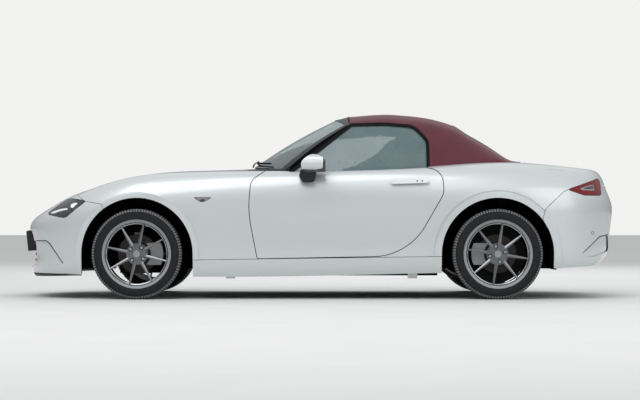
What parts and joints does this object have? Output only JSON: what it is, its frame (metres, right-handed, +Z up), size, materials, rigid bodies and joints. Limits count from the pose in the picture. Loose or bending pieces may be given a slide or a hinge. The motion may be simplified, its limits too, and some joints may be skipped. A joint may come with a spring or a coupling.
{
  "type": "two-seat soft-top convertible car",
  "caption": "Two-seat roadster with raised fabric top, steered front wheels, opening doors, bonnet and boot lid.",
  "frame": {"origin": "on the ground, at the middle of the car's length and width", "axes": "+X to the rear, +Y to the car's right, +Z up"},
  "size_m": [3.9208, 1.8858, 1.2171],
  "materials": {
    "body_paint": "pale silver metallic with clear coat",
    "lamp_clear": "clear polycarbonate",
    "lamp_red": "red lens",
    "black_plastic": "grained black",
    "top_fabric": "dark cherry acrylic canvas",
    "glass": "lightly tinted",
    "dark_metal": "black underbody coating",
    "seat_leather": "black",
    "cast_metal": "as cast",
    "bare_aluminium": "core and tanks",
    "steel": "stainless",
    "tyre_rubber": "road tyre",
    "wheel_alloy": "dark gunmetal paint"
  },
  "bodies": {
    "body": {"front_bumper": "body_paint", "headlamps": "lamp_clear", "front_fenders": "body_paint", "rear_bumper": "body_paint", "tail_lamps": "lamp_red", "rear_quarters": "body_paint", "grille": "black_plastic", "sills": "body_paint", "soft_top": "top_fabric", "rear_window": "glass", "windscreen_glass": "glass", "windscreen_frame": "body_paint", "inner_arches": "black_plastic", "inner_body": "dark_metal", "floor_tub": "dark_metal", "boot_tub": "dark_metal", "dashboard": "black_plastic", "seat_left": "seat_leather", "seat_right": "seat_leather", "engine": "cast_metal", "radiator": "bare_aluminium", "drivetrain": "cast_metal", "exhaust": "steel", "front_suspension": "dark_metal", "rear_suspension": "dark_metal"},
    "bonnet": {"bonnet": "body_paint"},
    "boot_lid": {"boot_lid": "body_paint"},
    "door_left": {"door_left": "body_paint", "side_glass_left": "glass", "mirror_left": "body_paint"},
    "door_right": {"door_right": "body_paint", "side_glass_right": "glass", "mirror_right": "body_paint"},
    "knuckle_left": {"knuckle_left": "cast_metal"},
    "knuckle_right": {"knuckle_right": "cast_metal"},
    "steering_rack": {"steering_rack": "steel"},
    "steering_wheel": {"steering_wheel": "black_plastic"},
    "wheel_fl": {"wheel_fl": "wheel_alloy", "tyre_fl": "tyre_rubber"},
    "wheel_fr": {"wheel_fr": "wheel_alloy", "tyre_fr": "tyre_rubber"},
    "wheel_rl": {"wheel_rl": "wheel_alloy", "tyre_rl": "tyre_rubber"},
    "wheel_rr": {"wheel_rr": "wheel_alloy", "tyre_rr": "tyre_rubber"}
  },
  "joints": [
    {"name": "bonnet_hinge", "type": "hinge", "parent": "body", "child": "bonnet", "pos_m": [-0.4, 0, 0.835], "axis": [0, 1, 0], "range_deg": [0, 50]},
    {"name": "boot_hinge", "type": "hinge", "parent": "body", "child": "boot_lid", "pos_m": [1.334, 0, 0.87], "axis": [0, -1, 0], "range_deg": [0, 75]},
    {"name": "door_left_hinge", "type": "hinge", "parent": "body", "child": "door_left", "pos_m": [-0.385, -0.812, 0.5], "axis": [0, 0, -1], "range_deg": [0, 65]},
    {"name": "door_right_hinge", "type": "hinge", "parent": "body", "child": "door_right", "pos_m": [-0.385, 0.812, 0.5], "axis": [0, 0, 1], "range_deg": [0, 65]},
    {"name": "steer_left", "type": "hinge", "parent": "body", "child": "knuckle_left", "pos_m": [-1.1775, -0.69, 0.29], "axis": [0, 0, 1], "range_deg": [-35, 35]},
    {"name": "steer_right", "type": "hinge", "parent": "body", "child": "knuckle_right", "pos_m": [-1.1775, 0.69, 0.29], "axis": [0, 0, 1], "range_deg": [-35, 35]},
    {"name": "rack_slide", "type": "slide", "parent": "body", "child": "steering_rack", "axis": [0, -1, 0], "range_m": [-0.0611, 0.0611]},
    {"name": "steering_column", "type": "hinge", "parent": "body", "child": "steering_wheel", "pos_m": [0.01, -0.365, 0.742], "axis": [0.9135, 0, 0.4067], "range_deg": [-525, 525]},
    {"name": "wheel_fl_spin", "type": "hinge", "parent": "knuckle_left", "child": "wheel_fl", "pos_m": [-1.1775, -0.7475, 0.29], "axis": [0, 1, 0], "continuous": true},
    {"name": "wheel_fr_spin", "type": "hinge", "parent": "knuckle_right", "child": "wheel_fr", "pos_m": [-1.1775, 0.7475, 0.29], "axis": [0, 1, 0], "continuous": true},
    {"name": "wheel_rl_spin", "type": "hinge", "parent": "body", "child": "wheel_rl", "pos_m": [1.1325, -0.7525, 0.29], "axis": [0, 1, 0], "continuous": true},
    {"name": "wheel_rr_spin", "type": "hinge", "parent": "body", "child": "wheel_rr", "pos_m": [1.1325, 0.7525, 0.29], "axis": [0, 1, 0], "continuous": true}
  ],
  "couplings": [
    {"joint": "steer_right", "follows": "steer_left", "ratio": 1},
    {"joint": "rack_slide", "follows": "steer_left", "m_per_rad": 0.1},
    {"joint": "steering_column", "follows": "steer_left", "ratio": 15}
  ]
}
